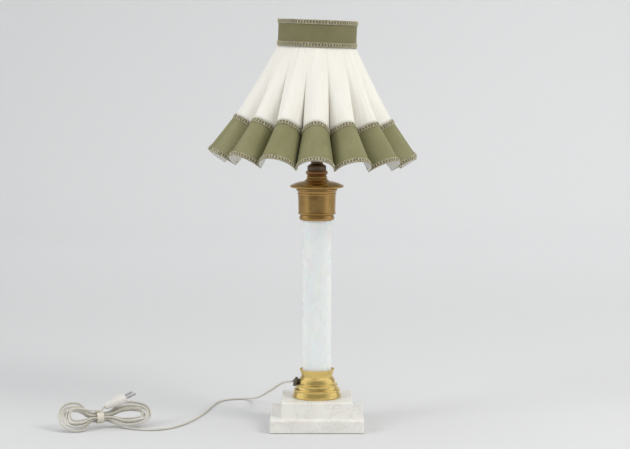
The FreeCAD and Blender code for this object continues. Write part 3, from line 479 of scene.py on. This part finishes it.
finishes = {
    "marble": marbleFinish(),
    "brass": brassFinish("brass", (0.84, 0.63, 0.225), (0.63, 0.45, 0.15), (0.22, 0.13, 0.05), 0.16),
    # darker copy of the brass for the capital: painted shade standing in for the shade's dark underside
    # reflected in it
    "brass_shaded": brassFinish("brass_shaded", (0.46, 0.29, 0.105), (0.34, 0.205, 0.07), (0.13, 0.075,
        0.03), 0.15),
    "red_brass": brassFinish("red_brass", (0.42, 0.24, 0.12), (0.30, 0.16, 0.08), (0.12, 0.07, 0.04), 0.26),
    "dark_bronze": brassFinish("dark_bronze", (0.15, 0.11, 0.08), (0.10, 0.07, 0.05), (0.04, 0.03, 0.02),
                               0.32),
    "opal_glass": opalFinish(),
    "felt": plainFinish("felt", (0.24, 0.22, 0.18), (0.16, 0.15, 0.12), 0.9, scale=300.0, grain=0.6,
                        sheen=0.3),
    "cork": plainFinish("cork", (0.50, 0.36, 0.22), (0.30, 0.20, 0.12), 0.8, scale=420.0, grain=0.5),
    "steel": plainFinish("steel", (0.60, 0.60, 0.61), (0.48, 0.48, 0.49), 0.3, metal=1.0, scale=120.0),
    "wire": plainFinish("wire", (0.62, 0.52, 0.32), (0.48, 0.38, 0.22), 0.32, metal=1.0, scale=120.0),
    "porcelain": plainFinish("porcelain", (0.86, 0.85, 0.81), (0.80, 0.79, 0.75), 0.18, coat=0.5,
                             grain=0.05),
    "frame_wire": plainFinish("frame_wire", (0.80, 0.78, 0.72), (0.72, 0.70, 0.64), 0.45, scale=150.0),
    "cream_silk": clothFinish("cream_silk", (0.85, 0.832, 0.765), (0.82, 0.80, 0.73), 0.06, 0.3, 0.03,
                              0.6, 0.3),
    "green_silk": clothFinish("green_silk", (0.268, 0.259, 0.138), (0.222, 0.214, 0.104), 0.25, 0.34,
                              0.02, 0.65, 0.4),
    # the green silk darkened for the collar band: painted shade, the band is the same cloth as the frill
    "green_band_shaded": clothFinish("green_band_shaded", (0.210, 0.197, 0.101), (0.179, 0.169, 0.087), 0.2, 0.34,
                              0.02, 0.65, 0.4),
    "lining_cloth": clothFinish("lining_cloth", (0.78, 0.77, 0.72), (0.73, 0.72, 0.67), 0.12, 0.4, 0.2,
                                0.75, 0.3),
    "braid": braidFinish(),
    # dark strip under the braid loops: painted shade, not a real tape
    "braid_painted_shade": plainFinish("braid_painted_shade", (0.20, 0.185, 0.115), (0.13, 0.12, 0.075), 0.8,
                                scale=500.0, grain=0.4),
    "lamp_glass": glassFinish("lamp_glass"),
    "bulb_metal": plainFinish("bulb_metal", (0.78, 0.78, 0.76), (0.66, 0.66, 0.64), 0.3, metal=1.0,
                              scale=90.0),
    "bulb_black": plainFinish("bulb_black", (0.03, 0.03, 0.035), (0.02, 0.02, 0.025), 0.25),
    "filament": plainFinish("filament", (0.85, 0.62, 0.2), (0.75, 0.5, 0.14), 0.5, scale=300.0),
    "cord_white": plainFinish("cord_white", (0.63, 0.61, 0.54), (0.55, 0.53, 0.46), 0.42, scale=40.0,
                              grain=0.15),
    "tie_white": plainFinish("tie_white", (0.74, 0.69, 0.59), (0.68, 0.625, 0.52), 0.5, scale=120.0,
                             grain=0.3),
    "plug_white": plainFinish("plug_white", (0.70, 0.685, 0.63), (0.65, 0.63, 0.575), 0.36, scale=70.0,
                              grain=0.12),
    "bushing_brown": plainFinish("bushing_brown", (0.13, 0.115, 0.09), (0.09, 0.08, 0.06), 0.42,
                                 scale=40.0, grain=0.02),
}


# per-node finishes: dark bronze for the collar screw; the capital shell and cap disc take the darker brass,
# which is painted shade
darkerFinishNodes = {"collar_screw": "dark_bronze", "capital_shell": "brass_shaded", "cap_disc": "brass_shaded"}


def dressNodes():
    slots = {s["node"]: s["material_slot"] for s in frame["record"]["subparts"]}
    for name, node in nodes.items():
        finish = finishes[darkerFinishNodes.get(name, slots[name])]
        if not node.data.materials:
            node.data.materials.append(finish)
        for place in node.material_slots:
            place.material = finish


dressNodes()
print("finishes made:", len(finishes))
makeCord(finishes["cord_white"])


# shade: the rims of the cloth, as the maker cut them
shadePlan = {
    "lean": 2.38, "leanHeading": 66.0, "hub": 633.25,     # degrees, degrees, mm
    "flutes": 15, "heading": 1.8,
    "collarRadius": 65.0, "collarBottom": 634.6, "collarHeight": 43.8,
    "browPeak": (133.3, 519.0), "browValley": (99.0, 493.5),
    "hemPeak": (176.2, 458.7), "hemValley": (147.6, 439.2),
    "cloth": 0.8,
    "liningTop": (59.7, 633.0), "liningBottom": (93.2, 489.0),
}
halfPitch = math.pi / shadePlan["flutes"]


def headingWay(heading):
    angle = math.radians(heading)
    return Vector((math.sin(angle), -math.cos(angle), 0.0))


def leaned(points):
    turn = Matrix.Rotation(math.radians(shadePlan["lean"]), 3, headingWay(shadePlan["leanHeading"] + 90.0))
    pivot = np.array((0.0, 0.0, shadePlan["hub"]))
    return (np.asarray(points) - pivot) @ np.array(turn).T + pivot


def flutedRim(peak, valley):
    across = valley[0] * math.sin(halfPitch)
    chord = valley[0] * math.cos(halfPitch)
    share = math.sqrt(0.5)
    return [(across, chord, valley[1]),
            (across * share, chord + (peak[0] - chord) * share, valley[1] + (peak[1] - valley[1]) * share),
            (0.0, peak[0], peak[1])]


def roundRim(radius, height):
    return [(radius * math.sin(halfPitch), radius * math.cos(halfPitch), height),
            (radius * math.sin(halfPitch / 2), radius * math.cos(halfPitch / 2), height),
            (0.0, radius, height)]


def arcThrough(rim, count):
    a, b, c = (np.array(p, float) for p in rim)
    u = unit(b - a)
    normal = unit(np.cross(b - a, c - a))
    v = np.cross(normal, u)
    bx = np.dot(b - a, u)
    cx, cy = np.dot(c - a, u), np.dot(c - a, v)
    centreX = bx / 2
    centreY = ((cx - centreX) ** 2 + cy * cy - centreX ** 2) / (2 * cy)
    radius = math.hypot(centreX, centreY)
    first = math.atan2(-centreY, -centreX)
    last = math.atan2(cy - centreY, cx - centreX)
    if centreY < 0 and last > first:
        last -= 2 * math.pi
    if centreY > 0 and last < first:
        last += 2 * math.pi
    angles = np.linspace(first, last, count + 1)
    middle = a + u * centreX + v * centreY
    return middle + radius * (np.cos(angles)[:, None] * u + np.sin(angles)[:, None] * v)


def ringOf(rim, count):
    half = arcThrough(rim, count)
    points = []
    for k in range(shadePlan["flutes"]):
        angle = math.radians(shadePlan["heading"] + 360.0 * k / shadePlan["flutes"])
        outward = np.array((math.sin(angle), -math.cos(angle), 0.0))
        along = np.array((math.cos(angle), math.sin(angle), 0.0))
        for side, order in ((-1, half[:-1]), (1, half[:0:-1])):
            for p in order:
                points.append(along * (side * p[0]) + outward * p[1] + np.array((0, 0, p[2])))
    return eased(np.array(points), count)


def eased(points, count):
    place = np.arange(len(points)) % (2 * count)
    fromValley = np.minimum(place, 2 * count - place) / count
    weight = (smoothStep((fromValley - 0.78) / 0.15) * 0.5)[:, None]
    for _ in range(count * count // 40):
        points = points + weight * ((np.roll(points, 1, axis=0) + np.roll(points, -1, axis=0)) / 2 - points)
    return points


def ringNormals(upper, lower):
    round = np.roll(upper, -1, axis=0) - np.roll(upper, 1, axis=0)
    normals = unit(np.cross(round, lower - upper))
    outward = upper * np.array((1.0, 1.0, 0.0))
    normals *= np.sign(np.sum(normals * outward, axis=1))[:, None]
    return normals


def clothSkin(name, upper, lower, rows, shift, inner, material, swell=None, fade=0.0):
    normals = ringNormals(upper, lower)
    columns = len(upper)
    run = np.concatenate([[0.0], np.cumsum(np.linalg.norm(np.diff(lower, axis=0), axis=1))])
    length = np.linalg.norm(lower - upper, axis=1).mean()
    rings, along = [], []
    shares = np.linspace(0.0, 1.0, rows)
    radius = np.linalg.norm(lower[:, :2], axis=1, keepdims=True)
    widen = np.max(radius) * 0.97 / radius
    plain = lower * np.hstack([widen, widen, np.zeros_like(radius)])
    plain[:, 2] = np.max(lower[:, 2])
    for share in shares:
        depth = share ** fade
        ring = upper * (1 - share) + (lower * depth + plain * (1 - depth)) * share
        if swell is not None:
            ring = ring + normals * swell(share)[:, None]
        rings.append(ring + normals * shift)
        along.append(share * length)
    for share in shares[::-1]:
        depth = share ** fade
        ring = upper * (1 - share) + (lower * depth + plain * (1 - depth)) * share
        if swell is not None:
            ring = ring + normals * swell(share)[:, None]
        rings.append(ring + normals * inner)
        along.append(share * length)
    points = leaned(np.concatenate(rings)) * mm
    total = len(rings)
    faces = []
    for r in range(total):
        s = (r + 1) % total
        for c in range(columns):
            d = (c + 1) % columns
            faces.append((r * columns + c, s * columns + c, s * columns + d, r * columns + d))
    piece = meshPiece(name, points, faces, material)
    layer = piece.data.uv_layers.new(name="weave")
    width = (run[-1] + np.linalg.norm(lower[-1] - lower[0])) * mm
    for polygon, face in zip(piece.data.polygons, faces):
        wraps = face[2] % columns == 0
        for loop, vertex in zip(polygon.loop_indices, face):
            column = vertex % columns
            u = run[column] * mm if not (wraps and column == 0) else width
            layer.data[loop].uv = (u, along[vertex // columns] * mm)
    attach(piece, "shade")
    return piece


gathers = {"count": 340, "depth": 0.55, "topDepth": 0.95, "seed": 7}


def gatherSwell(columns):
    rng = np.random.default_rng(gathers["seed"])
    place = np.arange(columns) / columns
    folds = np.zeros(columns)
    for octave, weight in ((1.0, 1.0), (0.53, 0.55), (0.27, 0.5), (0.11, 0.35)):
        count = int(gathers["count"] * octave)
        knots = rng.uniform(-1, 1, count)
        position = place * count
        low = np.floor(position).astype(int)
        blend = smoothStep(position - low)
        folds += weight * (knots[low % count] * (1 - blend) + knots[(low + 1) % count] * blend)
    folds /= np.abs(folds).max()
    second = np.roll(folds, columns // 7) * 0.8

    def swell(share):
        depth = gathers["topDepth"] * (1 - share) ** 2 + gathers["depth"] * (1 - (1 - share) ** 2)
        mixed = folds * math.cos(share * 1.1) + second * math.sin(share * 1.1)
        edge = min(1.0, share / 0.03 + 0.35)
        return mixed * depth * edge

    return swell


def makeCover():
    count = 56
    upper = ringOf(roundRim(shadePlan["collarRadius"] - 0.9, shadePlan["collarBottom"] + 1.0), count)
    lower = ringOf(flutedRim(shadePlan["browPeak"], shadePlan["browValley"]), count)
    cover = clothSkin("silk_cover", upper, lower, 22, -0.6, -1.4, finishes["cream_silk"],
                      gatherSwell(len(upper)), 1.3)
    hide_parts("shade_cover")
    return cover


def makeFrill():
    count = 30
    upper = ringOf(flutedRim(shadePlan["browPeak"], shadePlan["browValley"]), count)
    lower = ringOf(flutedRim(shadePlan["hemPeak"], shadePlan["hemValley"]), count)
    cloth = shadePlan["cloth"]
    frill = clothSkin("silk_frill", upper, lower, 16, -0.02, -cloth, finishes["green_silk"])
    lining = clothSkin("frill_back", upper, lower, 16, -cloth - 0.02, -2 * cloth, finishes["lining_cloth"])
    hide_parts("frill")
    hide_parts("frill_lining")


def makeCollarBand():
    count = 8
    top = shadePlan["collarBottom"] + shadePlan["collarHeight"]
    upper = ringOf(roundRim(shadePlan["collarRadius"], top), count)
    lower = ringOf(roundRim(shadePlan["collarRadius"], shadePlan["collarBottom"]), count)
    band = clothSkin("collar_silk", upper, lower, 10, 0.0, -shadePlan["cloth"], finishes["green_band_shaded"])
    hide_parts("collar_band")


def makeLining():
    count = 12
    upper = ringOf(roundRim(*shadePlan["liningTop"]), count)
    lower = ringOf(roundRim(*shadePlan["liningBottom"]), count)
    lining = clothSkin("shade_inside", upper, lower, 12, -0.05, -0.75, finishes["lining_cloth"])
    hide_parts("shade_lining")


makeCover()
makeFrill()
makeCollarBand()
makeLining()
print("shade cloth made")


# braid: small interlaced loops sewn along every edge, laid on a dark strip that is painted shade between and
# under the loops
braidPlan = {"pitch": 5.0, "width": 7.0, "length": 4.6, "wire": 0.66, "knot": 0.95, "painted_shade_strip": 6.8}


def braidTree():
    tree = bpy.data.node_groups.new("braid", "GeometryNodeTree")
    tree.interface.new_socket("Geometry", in_out="INPUT", socket_type="NodeSocketGeometry")
    for name, value in (("Loop Width", 5.4), ("Loop Length", 4.9), ("Wire", 0.62), ("Knot", 1.0)):
        socket = tree.interface.new_socket(name, in_out="INPUT", socket_type="NodeSocketFloat")
        socket.default_value = value
    tree.interface.new_socket("Material", in_out="INPUT", socket_type="NodeSocketMaterial")
    tree.interface.new_socket("Painted Shade", in_out="INPUT", socket_type="NodeSocketMaterial")
    tree.interface.new_socket("Geometry", in_out="OUTPUT", socket_type="NodeSocketGeometry")
    add, link = tree.nodes.new, tree.links.new
    entry, result = add("NodeGroupInput"), add("NodeGroupOutput")

    def attribute(name, kind):
        node = add("GeometryNodeInputNamedAttribute")
        node.data_type = kind
        node.inputs["Name"].default_value = name
        return node.outputs["Attribute"]

    first = add("FunctionNodeAlignRotationToVector")
    first.axis = "X"
    link(attribute("along", "FLOAT_VECTOR"), first.inputs["Vector"])
    second = add("FunctionNodeAlignRotationToVector")
    second.axis = "Z"
    second.pivot_axis = "X"
    link(first.outputs["Rotation"], second.inputs["Rotation"])
    link(attribute("outward", "FLOAT_VECTOR"), second.inputs["Vector"])

    loopLine = add("GeometryNodeCurvePrimitiveCircle")
    loopLine.inputs["Resolution"].default_value = 12
    loopLine.inputs["Radius"].default_value = 0.5 * mm
    size = add("ShaderNodeCombineXYZ")
    link(entry.outputs["Loop Length"], size.inputs["X"])
    link(entry.outputs["Loop Width"], size.inputs["Y"])
    size.inputs["Z"].default_value = 1.0
    stretch = add("GeometryNodeTransform")
    link(loopLine.outputs["Curve"], stretch.inputs["Geometry"])
    link(size.outputs["Vector"], stretch.inputs["Scale"])
    section = add("GeometryNodeCurvePrimitiveCircle")
    section.inputs["Resolution"].default_value = 5
    scaled = add("ShaderNodeMath")
    scaled.operation = "MULTIPLY"
    scaled.inputs[1].default_value = mm
    link(entry.outputs["Wire"], scaled.inputs[0])
    link(scaled.outputs[0], section.inputs["Radius"])
    tube = add("GeometryNodeCurveToMesh")
    link(stretch.outputs["Geometry"], tube.inputs["Curve"])
    link(section.outputs["Curve"], tube.inputs["Profile Curve"])

    ball = add("GeometryNodeMeshIcoSphere")
    ball.inputs["Subdivisions"].default_value = 2
    knotSize = add("ShaderNodeMath")
    knotSize.operation = "MULTIPLY"
    knotSize.inputs[1].default_value = mm
    link(entry.outputs["Knot"], knotSize.inputs[0])
    link(knotSize.outputs[0], ball.inputs["Radius"])

    joined = add("GeometryNodeJoinGeometry")
    for shape, wanted in ((tube.outputs["Mesh"], 0), (ball.outputs["Mesh"], 1)):
        compare = add("FunctionNodeCompare")
        compare.data_type = "FLOAT"
        compare.operation = "EQUAL"
        compare.inputs["B"].default_value = wanted
        link(attribute("kind", "FLOAT"), compare.inputs["A"])
        put = add("GeometryNodeInstanceOnPoints")
        link(entry.outputs["Geometry"], put.inputs["Points"])
        link(compare.outputs["Result"], put.inputs["Selection"])
        link(shape, put.inputs["Instance"])
        link(second.outputs["Rotation"], put.inputs["Rotation"])
        link(put.outputs["Instances"], joined.inputs["Geometry"])
    realize = add("GeometryNodeRealizeInstances")
    link(joined.outputs["Geometry"], realize.inputs["Geometry"])
    smooth = add("GeometryNodeSetShadeSmooth")
    link(realize.outputs["Geometry"], smooth.inputs["Geometry"])
    paint = add("GeometryNodeSetMaterial")
    link(smooth.outputs["Geometry"], paint.inputs["Geometry"])
    link(entry.outputs["Material"], paint.inputs["Material"])
    painted_shade_strip = add("GeometryNodeSetMaterial")
    link(entry.outputs["Geometry"], painted_shade_strip.inputs["Geometry"])
    link(entry.outputs["Painted Shade"], painted_shade_strip.inputs["Material"])
    whole = add("GeometryNodeJoinGeometry")
    link(painted_shade_strip.outputs["Geometry"], whole.inputs["Geometry"])
    link(paint.outputs["Geometry"], whole.inputs["Geometry"])
    link(whole.outputs["Geometry"], result.inputs["Geometry"])
    return tree


braidNodes = braidTree()


def makeBraid(name, ring, normals, replaced):
    closed = np.vstack([ring, ring[:1]])
    run = np.concatenate([[0.0], np.cumsum(np.linalg.norm(np.diff(closed, axis=0), axis=1))])
    units = int(run[-1] / braidPlan["pitch"])
    stops = np.arange(2 * units) * run[-1] / (2 * units)
    spots = np.stack([np.interp(stops, run, closed[:, axis]) for axis in range(3)], axis=1)
    faced = np.vstack([normals, normals[:1]])
    outward = unit(np.stack([np.interp(stops, run, faced[:, axis]) for axis in range(3)], axis=1))
    along = unit(np.roll(spots, -1, axis=0) - np.roll(spots, 1, axis=0))
    pivot = np.array((0.0, 0.0, shadePlan["hub"]))
    outward = leaned(outward + pivot) - pivot
    along = leaned(along + pivot) - pivot
    across = np.cross(along, outward)
    # the dark strip under the loops, painted shade for the shadow between and under them
    half = braidPlan["painted_shade_strip"] / 2
    edges = [leaned(spots) + across * (half * y) + outward * z for y, z in ((1, 0.1), (-1, 0.1), (-1,
        -0.5), (1, -0.5))]
    points = np.vstack([leaned(spots)] + edges) * mm
    count = len(spots)
    faces = [(count * (1 + e) + k, count * (1 + e) + (k + 1) % count,
              count * (1 + (e + 1) % 4) + (k + 1) % count, count * (1 + (e + 1) % 4) + k)
             for e in range(4) for k in range(count)]
    data = bpy.data.meshes.new(name)
    data.from_pydata([tuple(p) for p in points], [], faces)
    along, outward = np.tile(along, (5, 1)), np.tile(outward, (5, 1))
    for key, values in (("along", along), ("outward", outward)):
        layer = data.attributes.new(key, "FLOAT_VECTOR", "POINT")
        layer.data.foreach_set("vector", np.asarray(values, np.float32).ravel())
    kind = data.attributes.new("kind", "FLOAT", "POINT")
    kinds = np.concatenate([np.tile((0.0, 1.0), units), np.full(4 * count, 2.0)])
    kind.data.foreach_set("value", kinds.astype(np.float32))
    seeds = linkPiece(name + "_seeds", data)
    modifier = seeds.modifiers.new("braid", "NODES")
    modifier.node_group = braidNodes
    sockets = {s.name: s.identifier for s in braidNodes.interface.items_tree if s.in_out == "INPUT"}
    modifier[sockets["Loop Width"]] = braidPlan["width"]
    modifier[sockets["Loop Length"]] = braidPlan["length"]
    modifier[sockets["Wire"]] = braidPlan["wire"]
    modifier[sockets["Knot"]] = braidPlan["knot"]
    modifier[sockets["Material"]] = finishes["braid"]
    modifier[sockets["Painted Shade"]] = finishes["braid_painted_shade"]
    bpy.context.view_layer.update()
    made = bpy.data.meshes.new_from_object(seeds.evaluated_get(bpy.context.evaluated_depsgraph_get()))
    made.name = name
    bpy.data.objects.remove(seeds)
    piece = linkPiece(name, made)
    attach(piece, "shade")
    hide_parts(replaced)
    return piece


def makeBraids():
    bottom = shadePlan["collarBottom"]
    top = bottom + shadePlan["collarHeight"]
    radius = shadePlan["collarRadius"] + 1.0
    for name, height, replaced in (("collar_braid_lower", bottom + 3.8, "collar_trim_lower"),
                                   ("collar_braid_upper", top - 3.6, "collar_trim_upper")):
        ring = ringOf(roundRim(radius, height), 12)
        below = ringOf(roundRim(radius, height - 5.0), 12)
        makeBraid(name, ring, ringNormals(ring, below), replaced)
    count = 24
    upper = ringOf(flutedRim(shadePlan["browPeak"], shadePlan["browValley"]), count)
    lower = ringOf(flutedRim(shadePlan["hemPeak"], shadePlan["hemValley"]), count)
    normals = ringNormals(upper, lower)
    strip = np.linalg.norm(lower - upper, axis=1).mean()
    for name, share, replaced in (("frill_braid_upper", 3.2 / strip, "frill_trim_upper"),
                                  ("frill_braid_hem", 1 - 3.4 / strip, "frill_trim_hem")):
        ring = upper * (1 - share) + lower * share + normals * 0.7
        makeBraid(name, ring, normals, replaced)


makeBraids()
print("braids made")


# floor, backdrop and light
stagePlan = {"depth": 3.2, "front": 1.4, "half": 9.0, "bend": 1.2, "height": 6.0}


def makeStage():
    plan = stagePlan
    profile = [(-plan["front"], 0.0), (plan["depth"], 0.0)]
    for k in range(1, 13):
        turn = math.radians(90.0 * k / 12)
        profile.append((plan["depth"] + plan["bend"] * math.sin(turn), plan["bend"] * (1 - math.cos(turn))))
    profile.append((plan["depth"] + plan["bend"], plan["height"]))
    points = [(x, y, z) for y, z in profile for x in (-plan["half"], plan["half"])]
    faces = [(2 * k, 2 * k + 1, 2 * k + 3, 2 * k + 2) for k in range(len(profile) - 1)]
    material, shader = newMaterial("floor", color=(0.74, 0.75, 0.76), rough=0.85, specular=0.1)
    vector = place(material)
    # painted light: the floor and backdrop are coloured darker to the left and lighter to the right,
    # standing in for the light's fall-off
    split = addNode(material, "ShaderNodeSeparateXYZ")
    wire(material, vector, split.inputs["Vector"])
    share = level(material, split.outputs["X"], 0.0, 1.0, -1.2, 1.2)
    color = ramp(material, share, [(0.0, (0.625, 0.63, 0.635)), (1.0, (0.72, 0.725, 0.73))])
    wire(material, color, shader.inputs["Base Color"])
    stage = meshPiece("floor", points, faces, material)


def areaLight(name, place, target, size, power, color=(1.0, 1.0, 1.0), glossy=False):
    data = bpy.data.lights.new(name, "AREA")
    data.shape = "RECTANGLE"
    data.size, data.size_y = size
    data.energy = power
    data.color = color
    light = bpy.data.objects.new(name, data)
    light.location = place
    light.visible_glossy = glossy
    light.rotation_euler = (Vector(target) - Vector(place)).to_track_quat("-Z", "Y").to_euler()
    scene.collection.objects.link(light)


lightPlan = {"roomDark": 0.38, "roomBright": 0.94, "power": 0.65, "washRight": 18.5, "washLeft": 20.5}


def makeLight():
    world = bpy.data.worlds.new("studio")
    scene.world = world
    world.use_nodes = True
    background = world.node_tree.nodes["Background"]
    background.inputs["Color"].default_value = (1.0, 1.0, 1.0, 1.0)
    direction = addNode(world, "ShaderNodeTexCoord").outputs["Generated"]
    split = addNode(world, "ShaderNodeSeparateXYZ")
    wire(world, direction, split.inputs["Vector"])
    room = level(world, split.outputs["Y"], lightPlan["roomDark"], lightPlan["roomBright"], -0.74, -0.18)
    wire(world, room, background.inputs["Strength"])
    power = lightPlan["power"]
    areaLight("key", (2.1, -1.5, 2.2), (0, 0, 0.35), (1.2, 1.2), 62.0 * power, (1.0, 0.985, 0.96))
    areaLight("fill", (-2.3, -1.4, 1.5), (0, 0, 0.35), (1.2, 1.6), 42.0 * power, (0.98, 0.99, 1.0))
    areaLight("top", (0.3, -0.9, 2.8), (0, 0.0, 0.1), (1.6, 1.2), 6.0 * power, glossy=True)
    areaLight("wash_right", (1.6, 2.6, 2.6), (0.9, 4.4, 0.9), (2.0, 1.0), lightPlan["washRight"])
    areaLight("wash_left", (-1.6, 2.6, 2.6), (-0.9, 4.4, 0.9), (2.0, 1.0), lightPlan["washLeft"])


makeStage()
makeLight()
print("stage lit")
